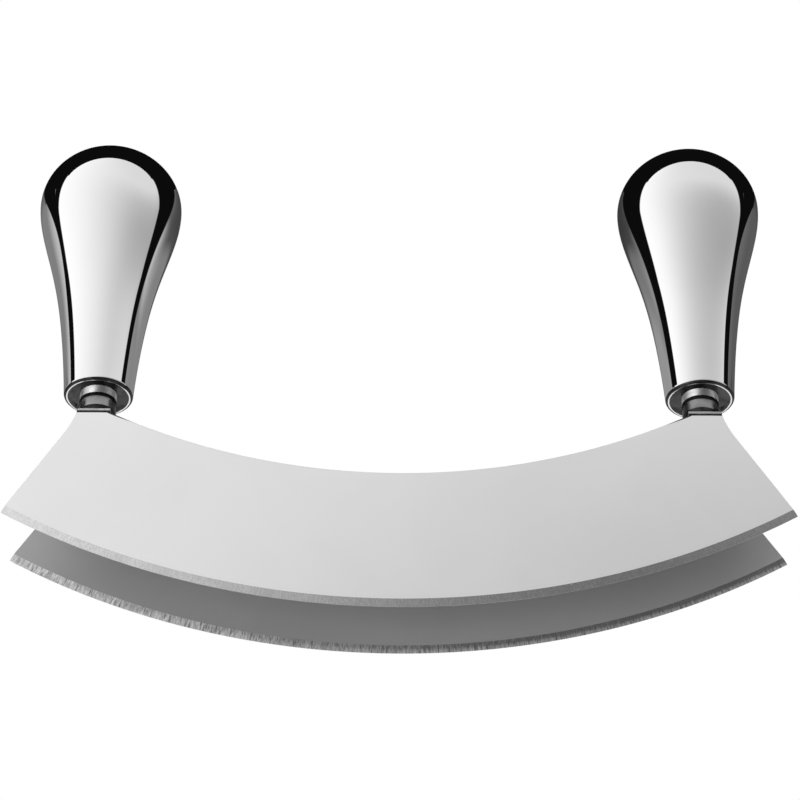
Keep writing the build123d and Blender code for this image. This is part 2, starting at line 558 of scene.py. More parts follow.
@dataclass
class Blade:
    """One blade: a curved sheet with a ground edge, folded at both ends into tabs under the handles."""

    facing: Facing
    name: str
    node: str
    edge_radius: float = EDGE_RADIUS
    height: float = 46.6 * MM
    bevel_width: float = 2.4 * MM
    edge_land: float = 0.1 * MM
    side_knee_share: float = 0.79
    side_knee_inset: float = 0.9 * MM
    stem_radius: float = 5.8 * MM
    tab_outer_reach: float = 4.7 * MM
    tab_waist_narrowing: float = 0.75 * MM
    fold_inner_radius: float = 1.5 * MM
    eye_radius: float = 6.6 * MM
    hole_radius: float = 3.2 * MM
    edge_round: float = 0.16 * MM
    edge_steps: int = 95
    top_steps: int = 96
    side_steps: int = 6
    fold_steps: int = 10
    eye_steps: int = 40
    overrun: float = 5.0 * MM
    crisp_angle: float = math.radians(12)
    deburr_angle: float = math.radians(40)
    deburr_segments: int = 3
    bevel_facing: Pair = (0.5, 0.99)
    flat_facing: float = 0.9
    side_facing: float = 0.3
    fold_rise: float = 0.02
    fold_shade_rise: float = 0.33

    def __post_init__(self) -> None:
        """Works out the places that follow from the sizes and from the frame."""
        low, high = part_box(self.node)
        self.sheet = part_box("front_blade")[1].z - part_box("rear_blade")[1].z
        self.half_span = high.x
        self.outer_y = low.y if self.facing is Facing.FRONT else high.y
        screw_low, screw_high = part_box("right_screw")
        self.handle_x = (screw_low.x + screw_high.x) / 2
        self.fold_radius = self.fold_inner_radius + self.sheet
        self.fold_z = high.z - self.fold_radius
        self.top_radius = self.edge_radius - self.height
        self.inward = -self.facing.value

    def at(self, x: float, z: float) -> Vector:
        """Gives a point on the outer face, seen from the front."""
        return Vector((x, self.outer_y, z))

    def arc(self, radius: float, start_x: float, end_x: float, steps: int) -> list[Vector]:
        """Points of an arc about the edge's centre.

        Args:
            radius: the arc's radius.
            start_x: where it starts along the blade.
            end_x: where it ends.
            steps: faces along it.

        Returns:
            The points, both ends among them.
        """
        start = math.asin(start_x / radius)
        end = math.asin(end_x / radius)
        angles = [start + (end - start) * step / steps for step in range(steps + 1)]
        return [self.at(radius * math.sin(a), self.edge_radius - radius * math.cos(a)) for a in angles]

    def side_curve(self) -> list[Vector]:
        """Points of the right side: straight from the tip to the knee, then curving up to the fold.

        Returns:
            The points, from the knee to the tab's outer corner.
        """
        tip = self.arc(self.edge_radius, 0.0, self.half_span, 1)[1]
        corner = self.at(self.handle_x + self.tab_outer_reach, self.fold_z)
        side = corner - tip
        inward = Vector((-side.z, 0.0, side.x)).normalized()
        knee = tip + side * self.side_knee_share + inward * self.side_knee_inset
        along = (knee - tip).normalized()
        chord = corner - knee
        across = (chord - along * chord.dot(along)).normalized()
        radius = chord.length_squared / (2 * chord.dot(across))
        turn = 2 * math.asin(chord.length / (2 * radius))
        bows = [(math.sin(a), 1 - math.cos(a)) for a in turning(self.side_steps, turn)]
        return [knee + along * radius * forth + across * radius * aside for forth, aside in bows]

    def outline(self) -> list[Vector]:
        """The sheet's outline below the folds, seen from the front, from the left tip round to it again."""
        shoulder = math.sqrt(self.top_radius**2 - (self.edge_radius - self.fold_z) ** 2)
        inner = self.handle_x - self.stem_radius
        right = self.side_curve() + [self.at(inner, self.fold_z)]
        top = self.arc(self.top_radius, shoulder, -shoulder, self.top_steps)
        if inner - shoulder < MERGE_DISTANCE:
            top = top[1:-1]
        left = [Vector((-p.x, p.y, p.z)) for p in reversed(right)]
        edge = self.arc(self.edge_radius, -self.half_span, self.half_span, self.edge_steps)
        return edge + right + top + left + [edge[0]]

    def fold_tab(self, side: Side) -> None:
        """Folds a tab from one fold edge: a quarter bend that narrows to a waist, then a round eye.

        Args:
            side: which end of the blade.
        """
        sign = side.value
        inner = self.handle_x - self.stem_radius
        outer = self.handle_x + self.tab_outer_reach
        bend_y = self.outer_y + self.inward * self.fold_radius
        mesh = bpy.context.object
        self.select_points([self.at(sign * inner, self.fold_z), self.at(sign * outer, self.fold_z)])
        for angle in turning(self.fold_steps)[1:]:
            narrowing = self.tab_waist_narrowing * (1 - math.cos(angle))
            y = bend_y - self.inward * self.fold_radius * math.cos(angle)
            z = self.fold_z + self.fold_radius * math.sin(angle)
            here = [Vector((sign * (inner + narrowing), y, z)), Vector((sign * (outer - narrowing), y, z))]
            self.extrude_edge_to(mesh, here)
        top = self.fold_z + self.fold_radius
        centre = sign * self.handle_x
        eye = [
            Vector((centre - self.eye_radius * math.cos(a), self.inward * self.eye_radius * math.sin(a), top))
            for a in turning(self.eye_steps, math.pi)
        ]
        if sign < 0:
            eye.reverse()
        start, end = here
        self.select_points([start])
        Bench.draw([start, *eye, end])
        self.select_points([start, *eye, end])
        bpy.ops.mesh.remove_doubles(threshold=MERGE_DISTANCE)
        self.select_points([start, *eye, end])
        bpy.ops.mesh.edge_face_add()

    @staticmethod
    def select_points(points: Sequence[Vector]) -> None:
        """Selects the vertices at these places, and nothing else."""
        bpy.ops.object.mode_set(mode="OBJECT")
        mesh = bpy.context.object.data
        for part in (mesh.vertices, mesh.edges, mesh.polygons):
            part.foreach_set("select", [False] * len(part))
        places = np.array([v.co for v in mesh.vertices])
        for point in points:
            near = np.linalg.norm(places - np.array(point), axis=1) < MERGE_DISTANCE
            for index in np.nonzero(near)[0]:
                mesh.vertices[int(index)].select = True
        bpy.ops.object.mode_set(mode="EDIT")

    @staticmethod
    def extrude_edge_to(piece: Piece, places: Sequence[Vector]) -> None:
        """Extrudes the selected edge and sets its two new vertices down at these places, inner one first."""
        bpy.ops.mesh.extrude_region_move()
        bpy.ops.object.mode_set(mode="OBJECT")
        fresh = [v for v in piece.data.vertices if v.select]
        fresh.sort(key=lambda v: abs(v.co.x))
        for vertex, place in zip(fresh, places):
            vertex.co = place
        bpy.ops.object.mode_set(mode="EDIT")

    def grinding_ring(self, face_y: float, inwards: float) -> Piece:
        """The ring that a grinding wheel takes off one face along the edge.

        Args:
            face_y: where the face lies.
            inwards: the sign of the direction into the sheet.

        Returns:
            A closed cutting tool.
        """
        depth = (self.sheet - self.edge_land) / 2
        reach = self.bevel_width + self.overrun
        corners = [
            (face_y, self.bevel_width),
            (face_y + inwards * depth * reach / self.bevel_width, -self.overrun),
            (face_y - inwards * self.overrun, -self.overrun),
            (face_y - inwards * self.overrun, self.bevel_width),
        ]
        points = [Vector((0.0, y, z)) for y, z in corners]
        ring = Bench.start("grinding_ring", points[0])
        Bench.draw([*points, points[0]])
        Bench.weld()
        bpy.ops.mesh.spin(
            steps=self.edge_steps * 6, angle=2 * math.pi, center=(0.0, 0.0, self.edge_radius), axis=(0.0, 1.0, 0.0)
        )
        Bench.tidy()
        return ring

    def hole_tool(self, side: Side) -> Piece:
        """The drill for the screw hole in one tab."""
        Bench.clear()
        place = (side.value * self.handle_x, 0.0, self.fold_z + self.fold_radius)
        bpy.ops.mesh.primitive_cylinder_add(
            vertices=self.eye_steps, radius=self.hole_radius, depth=2 * self.overrun, location=place
        )
        return bpy.context.object

    def build(self, finishes: Sequence[Material]) -> None:
        """Cuts, folds, drills, deburrs and grinds the sheet, then dresses it.

        Args:
            finishes: those of the outer face, outer bevel, cut edges, inner face (painted shade), bends (painted
            highlight), inner bevel and the bends' foot (painted shade), in this order.
        """
        points = self.outline()
        piece = Bench.start(self.name, points[0])
        Bench.draw(points)
        Bench.weld()
        bpy.ops.mesh.edge_face_add()
        for side in Side:
            self.fold_tab(side)
        Bench.tidy()
        self.face_outwards(piece)
        Bench.modify(piece, "SOLIDIFY", thickness=self.sheet, offset=-1.0, use_even_offset=True)
        for side in Side:
            Bench.cut(piece, self.hole_tool(side))
        rounding = {"width": self.edge_round, "segments": self.deburr_segments, "angle_limit": self.deburr_angle}
        Bench.modify(piece, "BEVEL", limit_method="ANGLE", **rounding)
        inner_y = self.outer_y + self.inward * self.sheet
        Bench.cut(piece, self.grinding_ring(self.outer_y, self.inward))
        Bench.cut(piece, self.grinding_ring(inner_y, -self.inward))
        ground_from = self.edge_radius - self.bevel_width

        def choose(face: Face) -> int:
            """Says which finish a face has, by its place in the row of finishes."""
            radius = math.hypot(face.center.x, face.center.z - self.edge_radius)
            outward = face.normal.y * self.facing.value
            broad = abs(face.normal.x) < self.side_facing
            if radius > ground_from and self.bevel_facing[0] < abs(outward) < self.bevel_facing[1]:
                return 1 if outward > 0 else 5
            # The folds' upper part gets the painted highlight, their foot the painted shade.
            if face.center.z > self.fold_z and broad and outward > 0 and face.normal.z > self.fold_rise:
                return 4 if face.normal.z > self.fold_shade_rise else 6
            if face.center.z > self.fold_z + self.edge_round and broad:
                return 3
            if abs(outward) > self.flat_facing:
                return 0 if outward > 0 else 3
            return 2

        Bench.finish(piece, self.node, Slot.BLADE, finishes, choose)
        Bench.smooth(piece, self.crisp_angle)
        Bench.modify(piece, "WEIGHTED_NORMAL", mode="FACE_AREA", keep_sharp=True)

    def face_outwards(self, piece: Piece) -> None:
        """Turns the open sheet so that its faces look out of the outer side."""
        large = max(piece.data.polygons, key=lambda face: face.area)
        if large.normal.y * self.facing.value < 0:
            piece.data.flip_normals()


@dataclass
class Handle:
    """One hollow handle: a polished shell with a rolled lip, and the turned plug that closes its neck."""

    side: Side
    wall: float = 1.0 * MM
    rim_radius: float = 10.9 * MM
    lip_radius: float = 9.57 * MM
    lip_round: float = 1.1 * MM
    lip_inner_round: float = 0.2 * MM
    recess_depth: float = 1.05 * MM
    grip_length: float = 74.2 * MM
    dome_height: float = 20.75 * MM
    stem_radius: float = 5.8 * MM
    stem_foot_round: float = 0.35 * MM
    plug_thickness: float = 5.0 * MM
    bore_radius: float = 3.03 * MM
    bore_depth: float = 12.6 * MM
    root_height: float = 2.6 * MM
    # Painted shadow: a band under the root and one above the foot get the near-black finish.
    shadow_band_height: float = 1.4 * MM
    foot_shadow_span: tuple[float, float] = (4.2 * MM, 6.3 * MM)
    # Where the painted shade along the lip's crease lies, above the rim.
    crease_top: float = 0.74 * MM
    crease_foot: float = 0.06 * MM
    flare_shares: tuple[float, ...] = (0.075, 0.19, 0.35, 0.577, 0.846)
    grip_steps: int = 72
    dome_steps: int = 36
    lip_steps: int = 12
    turns: int = 160

    def __post_init__(self) -> None:
        """Reads the handle's place from the frame."""
        self.label = self.side.name.lower()
        low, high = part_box(f"{self.label}_handle_shell")
        self.axis_x = (low.x + high.x) / 2
        self.rim_z = low.z
        self.bulb_radius = (high.y - low.y) / 2
        low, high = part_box(f"{self.label}_handle_plug")
        self.tab_top = low.z
        self.disc_radius = (high.y - low.y) / 2

    def grip_curve(self, inset: float) -> list[Pair]:
        """The flared grip, as a smooth curve through its named widths.

        Args:
            inset: how far the curve is drawn in from the outer surface.

        Returns:
            Radius and height of each point, from just above the rim to the bulb's widest ring.
        """
        flare = self.bulb_radius - self.rim_radius
        start = self.lip_round if inset == 0 else self.recess_depth
        knots = [start / self.grip_length]
        widths = [self.rim_radius]
        for number, share in enumerate(self.flare_shares, 1):
            knots.append(number / (len(self.flare_shares) + 1))
            widths.append(self.rim_radius + flare * share)
        knots.append(1.0)
        widths.append(self.bulb_radius)
        bend = clamped_spline(np.array(knots), np.array(widths), 0.065 * self.grip_length, 0.0)
        shares = np.linspace(knots[0], 1.0, self.grip_steps + 1)
        return [(float(bend(s)) - inset, self.rim_z + float(s) * self.grip_length) for s in shares]

    def dome_curve(self, inset: float) -> list[Pair]:
        """The dome over the bulb, a quarter ellipse from its widest ring to its top.

        Args:
            inset: how far the curve is drawn in from the outer surface.

        Returns:
            Radius and height of each point after the widest ring.
        """
        base = self.rim_z + self.grip_length
        points = []
        for angle in turning(self.dome_steps)[1:]:
            reach = (self.bulb_radius - inset) * math.cos(angle)
            points.append((max(reach, 0.0), base + (self.dome_height - inset) * math.sin(angle)))
        return points

    def shell(self, polish: Material, painted_shade: Material) -> None:
        """Turns the hollow shell: outer skin, rolled lip with a band of painted shade along its crease, and inner
        skin.
        """
        rim = self.rim_z
        shoulder = rim + self.recess_depth
        neck = self.rim_radius - self.wall
        outer = self.grip_curve(0.0) + self.dome_curve(0.0)
        inner = self.grip_curve(self.wall) + self.dome_curve(self.wall)
        lip = round_corner(
            (self.rim_radius, shoulder), (self.rim_radius, rim), (0.0, rim), self.lip_round, self.lip_steps
        )
        inner_lip = round_corner(
            (self.rim_radius, rim), (self.lip_radius, rim), (self.lip_radius, shoulder), self.lip_inner_round, 4
        )
        outline = [
            *reversed(outer),
            *lip[1:],
            *inner_lip,
            (self.lip_radius, shoulder),
            (neck, shoulder),
            *inner[1:],
        ]
        piece = Bench.turn(f"{self.label}_handle_skin", self.axis_x, outline, self.turns)

        def choose(polygon: Face) -> int:
            """Says which finish a face has: 0 polished, 1 painted shade along the lip's crease."""
            reach = math.hypot(polygon.center.x - self.axis_x, polygon.center.y)
            above_rim = polygon.center.z - rim
            outside = reach > self.lip_radius + self.lip_inner_round
            return int(outside and self.crease_foot < above_rim < self.crease_top)

        Bench.finish(piece, f"{self.label}_handle_shell", Slot.HANDLE, (polish, painted_shade), choose)

    def plug(self, finishes: Sequence[Material]) -> None:
        """Turns the plug: a stem down to the tabs, a disc inside the neck and a blind screw bore.

        Args:
            finishes: those of the stem's root, the recess (painted shade), the turned stem and the painted shadow
                bands, in this order.
        """
        foot = self.tab_top
        face = self.rim_z + self.recess_depth
        top = face + self.plug_thickness
        foot_round = round_corner(
            (0.0, foot), (self.stem_radius, foot), (self.stem_radius, face), self.stem_foot_round, 4
        )
        outline = [
            (0.0, foot + self.bore_depth),
            (self.bore_radius, foot + self.bore_depth),
            (self.bore_radius, foot),
            *foot_round,
            *((self.stem_radius, foot + height) for height in self.foot_shadow_span),
            (self.stem_radius, face - self.root_height - self.shadow_band_height),
            (self.stem_radius, face - self.root_height),
            (self.stem_radius, face),
            (self.disc_radius, face),
            (self.disc_radius, top - self.stem_foot_round),
            (self.disc_radius - self.stem_foot_round, top),
            (0.0, top),
        ]
        piece = Bench.turn(f"{self.label}_handle_stem", self.axis_x, outline, self.turns)

        def choose(polygon: Face) -> int:
            """Says which finish a face has, by its place in the row of finishes."""
            below = face - polygon.center.z
            # The recess floor and the disc inside the neck get the recess's painted shade.
            if below < MERGE_DISTANCE:
                return 1
            # The band above the foot and the band under the root get the painted shadow.
            if self.foot_shadow_span[0] < polygon.center.z - foot < self.foot_shadow_span[1] and polygon.normal.z == 0.0:
                return 3
            if below > self.root_height + self.shadow_band_height:
                return 2
            return 0 if below < self.root_height else 3

        Bench.finish(piece, f"{self.label}_handle_plug", Slot.HANDLE, finishes, choose)


def clamped_spline(knots: np.ndarray, values: np.ndarray, start_slope: float, end_slope: float) -> Callable:
    """A smooth curve through given points with given end slopes.

    Args:
        knots: where the points lie, rising.
        values: the value at each.
        start_slope: the slope at the first knot.
        end_slope: the slope at the last.

    Returns:
        A function of one place between the first and last knot.
    """
    gaps = np.diff(knots)
    rises = np.diff(values) / gaps
    size = len(knots)
    system = np.zeros((size, size))
    right = np.zeros(size)
    system[0, 0] = system[-1, -1] = 1.0
    right[0] = start_slope
    right[-1] = end_slope
    for i in range(1, size - 1):
        system[i, i - 1] = gaps[i]
        system[i, i] = 2 * (gaps[i - 1] + gaps[i])
        system[i, i + 1] = gaps[i - 1]
        right[i] = 3 * (gaps[i] * rises[i - 1] + gaps[i - 1] * rises[i])
    slopes = np.linalg.solve(system, right)

    def curve(place: float) -> float:
        """The curve's value at one place."""
        i = min(max(int(np.searchsorted(knots, place)) - 1, 0), size - 2)
        t = (place - knots[i]) / gaps[i]
        ends = values[i] * (1 + 2 * t) * (1 - t) ** 2 + values[i + 1] * t * t * (3 - 2 * t)
        return ends + gaps[i] * (slopes[i] * t * (1 - t) ** 2 - slopes[i + 1] * t * t * (1 - t))

    return curve


@dataclass
class ClampFasteners:
    """The screw that goes up through both tabs into one stem, and the washer under its head."""

    side: Side
    shank_radius: float = 3.0 * MM
    head_height: float = 3.3 * MM
    head_crown_radius: float = 3.4 * MM
    head_edge: float = 0.9 * MM
    tip_chamfer: float = 0.6 * MM
    hex_across_flats: float = 4.0 * MM
    hex_depth: float = 2.0 * MM
    washer_round: float = 0.3 * MM
    hole_radius: float = 3.2 * MM
    crown_steps: int = 8
    turns: int = 72

    def __post_init__(self) -> None:
        """Reads the fasteners' place from the frame."""
        self.label = self.side.name.lower()
        self.low, self.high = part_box(f"{self.label}_screw")
        self.washer_low, self.washer_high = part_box(f"{self.label}_washer")
        self.axis_x = (self.low.x + self.high.x) / 2

    def screw(self, steel: Material) -> None:
        """Turns the button-headed screw and sinks its hexagon socket."""
        head_radius = (self.high.y - self.low.y) / 2
        seat = self.low.z + self.head_height
        bottom = self.low.z
        crown = []
        for angle in turning(self.crown_steps):
            reach = self.head_crown_radius + (head_radius - self.head_crown_radius) * math.sin(angle)
            crown.append((reach, bottom + (self.head_height - self.head_edge) * (1 - math.cos(angle))))
        outline = [
            (0.0, bottom),
            *crown,
            (head_radius, seat - self.washer_round / 2),
            (head_radius - self.washer_round / 2, seat),
            (self.shank_radius, seat),
            (self.shank_radius, self.high.z - self.tip_chamfer),
            (self.shank_radius - self.tip_chamfer, self.high.z),
            (0.0, self.high.z),
        ]
        piece = Bench.turn(f"{self.label}_clamp_screw", self.axis_x, outline, self.turns)
        Bench.clear()
        bpy.ops.mesh.primitive_cylinder_add(
            vertices=6,
            radius=self.hex_across_flats / math.sqrt(3),
            depth=2 * self.hex_depth,
            location=(self.axis_x, 0.0, bottom),
        )
        Bench.cut(piece, bpy.context.object)
        Bench.finish(piece, f"{self.label}_screw", Slot.FASTENER, (steel,))

    def washer(self, steel: Material) -> None:
        """Turns the flat washer with its rounded outer edge."""
        radius = (self.washer_high.y - self.washer_low.y) / 2
        top, bottom = self.washer_high.z, self.washer_low.z
        upper = round_corner((0.0, top), (radius, top), (radius, bottom), self.washer_round, 3)
        lower = round_corner((radius, top), (radius, bottom), (0.0, bottom), self.washer_round, 3)
        start = (self.hole_radius, top)
        outline = [start, *upper, *lower, (self.hole_radius, bottom), start]
        piece = Bench.turn(f"{self.label}_clamp_washer", self.axis_x, outline, self.turns)
        Bench.finish(piece, f"{self.label}_washer", Slot.FASTENER, (steel,))


@dataclass
class Studio:
    """Camera, lamp, floor and surroundings."""

    azimuth_deg: float = -0.453
    elevation_deg: float = 34.423
    roll_deg: float = 0.051
    distance: float = 0.94514
    target: Triple = (0.00021, 0.0, 0.08347)
    focal_px: float = 3006.2
    frame_px: float = 800.0
    sensor_mm: float = 36.0
    floor_size: float = 12.0
    floor_drop: float = 0.02 * MM
    floor_color: Triple = (0.86, 0.86, 0.86)
    lamp_power: float = 26.0
    lamp_size: float = 1.2
    lamp_place: Triple = (-0.5, -0.7, 1.7)
    fill_power: float = 1.9
    fill_size: float = 0.4
    fill_place: Triple = (-0.18, -0.36, -0.24)
    card_distance: float = 0.34
    card_reach: float = 2.0
    card_foot: float = -0.08
    card_top: float = 0.87
    roof_left: float = -0.35
    roof_right: float = 0.36
    roof_foot: float = 0.2
    roof_slope: float = 0.87
    roof_start: float = -0.009
    roof_end: float = 1.5
    divider_start: float = -0.006
    divider_end: float = 0.6
    divider_foot: float = 0.12
    divider_top: float = 0.7
    divider_slope: float = 0.55
    divider_lean: float = 1.7
    divider_corner: tuple[float, float] = (0.003, 0.145)
    divider_shift: float = 0.011
    divider_fade: float = 0.015
    room_glow: float = 0.004
    view_height: float = 0.1

    def camera(self) -> None:
        """Sets the camera below the object, looking up at it as the photograph does."""
        azimuth, elevation = math.radians(self.azimuth_deg), math.radians(self.elevation_deg)
        level = math.cos(elevation)
        back = Vector((math.sin(azimuth) * level, -math.cos(azimuth) * level, -math.sin(elevation)))
        bpy.ops.object.camera_add(location=Vector(self.target) + back * self.distance)
        camera = bpy.context.object
        camera.rotation_mode = "QUATERNION"
        roll = Quaternion((0.0, 0.0, 1.0), math.radians(self.roll_deg))
        camera.rotation_quaternion = (-back).to_track_quat("-Z", "Y") @ roll
        camera.data.sensor_width = self.sensor_mm
        camera.data.lens = self.focal_px / self.frame_px * self.sensor_mm
        camera.data.clip_start = 0.01
        bpy.context.scene.camera = camera

    def lamps(self) -> None:
        """Hangs one broad soft lamp over the object and one below its front, which the steel doesn't mirror."""
        for place, size, power in (
            (self.lamp_place, self.lamp_size, self.lamp_power),
            (self.fill_place, self.fill_size, self.fill_power),
        ):
            bpy.ops.object.light_add(type="AREA", location=place)
            lamp = bpy.context.object
            lamp.data.shape = "DISK"
            lamp.data.size = size
            lamp.data.energy = power
            lamp.rotation_euler = (-Vector(place)).to_track_quat("-Z", "Y").to_euler()
            lamp.visible_glossy = lamp.visible_camera = False

    def floor(self) -> None:
        """Lays a pale floor that shows from above, keeps the shadow and lets the camera look up through it."""
        bpy.ops.mesh.primitive_plane_add(size=self.floor_size, location=(0.0, 0.0, -self.floor_drop))
        floor = bpy.context.object
        floor.name = "floor"
        floor.visible_glossy = floor.visible_shadow = False
        material, nodes = new_material("pale_floor")
        paint = nodes.add("ShaderNodeBsdfDiffuse", {"Color": (*self.floor_color, 1.0)})
        clear = nodes.add("ShaderNodeBsdfTransparent")
        below = nodes.add("ShaderNodeNewGeometry").outputs["Backfacing"]
        nodes.end(nodes.add("ShaderNodeMixShader", {0: below, 1: paint.outputs[0], 2: clear.outputs[0]}))
        floor.data.materials.append(material)

    @staticmethod
    def hang(name: str, cloth: str, middle: Triple, turn: Triple, sides: Pair) -> tuple[Piece, Nodes]:
        """Hangs a card that the camera doesn't see.

        Args:
            name: the card's name.
            cloth: its material's name.
            middle: where its middle lies.
            turn: its rotation from lying flat.
            sides: its sides along X and Y before it is turned.

        Returns:
            The card and the writer of its material's nodes.
        """
        bpy.ops.mesh.primitive_plane_add(size=1.0, location=middle, rotation=turn)
        card = bpy.context.object
        card.name = name
        card.scale = (*sides, 1.0)
        bpy.ops.object.transform_apply(location=True, rotation=True, scale=True)
        card.visible_camera = False
        material, nodes = new_material(cloth)
        card.data.materials.append(material)
        return card, nodes

    def card(self) -> None:
        """Stands a broad white card in front of the object, above the camera's line of sight."""
        height = self.card_top - self.card_foot
        middle = (0.0, -self.card_distance, self.card_foot + height / 2)
        sides = (2 * self.card_reach, height)
        _, nodes = self.hang("front_card", "glowing_card", middle, (math.pi / 2, 0.0, 0.0), sides)
        x, _, z = nodes.split(nodes.place())
        far = nodes.math("SQRT", nodes.line(x, x, self.card_distance**2))
        rise = nodes.over(nodes.minus(z, self.view_height), far)
        nodes.end(nodes.add("ShaderNodeEmission", {"Strength": self.glow(nodes, nodes.over(x, far), rise)}))

    def roof(self) -> None:
        """Slopes a black card up behind the object, which the polished handles mirror around their bulbs."""
        tilt = math.atan(self.roof_slope)
        depth = (self.roof_start + self.roof_end) / 2
        middle = ((self.roof_left + self.roof_right) / 2, depth, self.roof_foot + self.roof_slope * depth)
        sides = (self.roof_right - self.roof_left, (self.roof_end - self.roof_start) / math.cos(tilt))
        roof, nodes = self.hang("black_card", "black_cloth", middle, (tilt, 0.0, 0.0), sides)
        roof.visible_diffuse = roof.visible_shadow = False
        nodes.end(nodes.add("ShaderNodeEmission", {"Strength": self.room_glow}))

    def divider(self) -> None:
        """Stands a grey card between the handles and behind them, black beyond a slanted line in its upper front."""
        width, height = self.divider_end - self.divider_start, self.divider_top - self.divider_foot
        middle = (0.0, self.divider_start + width / 2, self.divider_foot + height / 2)
        card, nodes = self.hang("grey_card", "grey_cloth", middle, (0.0, math.pi / 2, 0.0), (height, width))
        card.visible_diffuse = card.visible_shadow = False
        _, y, z = nodes.split(nodes.place())
        left = nodes.add("ShaderNodeNewGeometry").outputs["Backfacing"]

        def pick(for_left: float, for_right: float) -> Socket:
            """The first value on the side of the left handle, the second on the other."""
            return nodes.line(left, for_left - for_right, for_right)

        start, foot = self.divider_corner
        slant = nodes.math("MAXIMUM", nodes.over(nodes.minus(z, foot), self.divider_lean), start)
        inside = nodes.minus(y, nodes.plus(slant, pick(0.0, self.divider_shift)))
        rise = nodes.line(y, -self.divider_slope, z)
        base = nodes.mul(
            nodes.ramp(rise, (0.142, 0.154), (pick(0.236, 0.18), pick(0.078, 0.055))),
            nodes.ramp(rise, (0.126, 0.142), (pick(1.05, 1.75), 1.0)),
            nodes.ramp(rise, (0.15, 0.167), (1.0, 0.76)),
        )
        streak = nodes.mul(
            nodes.math("EXPONENT", nodes.over(inside, -self.divider_fade)),
            nodes.ramp(z, (0.151, 0.158), (0.06, pick(0.64, 0.2))),
            nodes.ramp(z, (0.160, 0.19), (1.0, 0.15)),
        )
        strength = nodes.mul(nodes.plus(base, streak), nodes.ramp(inside, (0.0, 0.004)))
        nodes.end(nodes.add("ShaderNodeEmission", {"Strength": nodes.plus(strength, self.room_glow)}))

    @staticmethod
    def glow(nodes: Nodes, side: Socket, rise: Socket) -> Socket:
        """How brightly the studio's front glows: most at its left, and less towards its foot, mostly at its right.

        Args:
            nodes: the node writer.
            side: the sine of the direction's angle to the right, seen from the object.
            rise: the tangent of its angle above the horizon.

        Returns:
            The brightness.
        """
        leftness = nodes.line(side, -0.5, 0.5, clamp=True)
        high = nodes.line(nodes.math("POWER", leftness, 2.6), 0.35, 0.79)
        low = nodes.line(nodes.math("POWER", leftness, 1.4), 0.72, 0.42)
        foot = nodes.ramp(side, (-0.75, 0.3), (1.0, 0.28))
        low = nodes.mul(low, nodes.ramp(rise, (-0.25, 0.2), (foot, 1.0)))
        full = nodes.line(nodes.math("MAXIMUM", side, 0.0), -0.15, 0.75)
        return nodes.ramp(rise, (0.2, full), (low, high))

    def surroundings(self) -> None:
        """Paints the rest of the studio: grey behind, bright tables low down, dark elsewhere."""
        world = bpy.data.worlds.new("studio")
        bpy.context.scene.world = world
        world.use_nodes = True
        nodes = Nodes(world.node_tree)
        x, y, z = nodes.split(nodes.add("ShaderNodeTexCoord").outputs["Generated"])
        level = nodes.math("MAXIMUM", nodes.math("SQRT", nodes.plus(nodes.mul(x, x), nodes.mul(y, y))), 0.01)
        azimuth = nodes.math("ABSOLUTE", nodes.math("ARCTAN2", x, nodes.mul(y, -1.0)))
        elevation = nodes.math("ARCTAN2", z, level)
        deg = math.radians

        def turned(angle: Socket, start: float, end: float, result: tuple = (0.0, 1.0)) -> Socket:
            """Maps an angle, from a span given in degrees, as a ramp does."""
            return nodes.ramp(angle, (deg(start), deg(end)), result)

        above = nodes.math("MAXIMUM", nodes.minus(elevation, deg(19)), 0.0)
        reach = nodes.line(nodes.mul(above, above), -0.86, nodes.line(above, -0.5, deg(87.7)))
        front = nodes.mul(
            nodes.math("DIVIDE", nodes.minus(reach, azimuth), deg(1.5), clamp=True),
            turned(elevation, 36, 38, (1.0, 0.0)),
            turned(elevation, -14, -12),
            self.glow(nodes, nodes.over(x, level), nodes.over(z, level)),
        )
        wall_top = nodes.ramp(nodes.over(z, nodes.math("MAXIMUM", y, 0.05)), (1.0, 1.12), (1.0, 0.0))
        wall_top = nodes.math("MAXIMUM", wall_top, turned(elevation, 30.5, 32, (1.0, 0.0)))
        shade = nodes.mul(
            nodes.ramp(x, (-0.3, 0.3), (0.25, 0.115)),
            turned(azimuth, 100, 125, (nodes.ramp(x, (-0.3, 0.3), (1.9, 1.1)), 0.8)),
            turned(elevation, 30, 38, (1.15, 0.6)),
        )
        wall = nodes.mul(turned(azimuth, 94, 97), wall_top, turned(elevation, 8, 14), shade)
        table_end = nodes.ramp(y, (-0.1, 0.1), (deg(-15), deg(-26)))
        table = nodes.math("SUBTRACT", 1.0, nodes.over(nodes.minus(table_end, elevation), deg(-4)), clamp=True)
        table = nodes.mul(table, nodes.ramp(y, (-0.55, -0.25), (nodes.ramp(x, (-0.6, 0.02), (2.6, 0.1)), 0.9)))
        ledge = nodes.mul(
            turned(elevation, 0, 4, (1.0, 0.0)),
            turned(elevation, -18, -14),
            turned(azimuth, 110, 120, (0.0, 0.9)),
        )
        room = nodes.plus(nodes.plus(front, wall), nodes.plus(table, ledge), self.room_glow)
        seen = nodes.add("ShaderNodeLightPath").outputs["Is Camera Ray"]
        strength = nodes.add("ShaderNodeMix", {0: seen, 2: room, 3: 1.0}, data_type="FLOAT").outputs[0]
        nodes.end(nodes.add("ShaderNodeBackground", {"Strength": strength, "Color": (1.0, 1.0, 1.0, 1.0)}), "World")


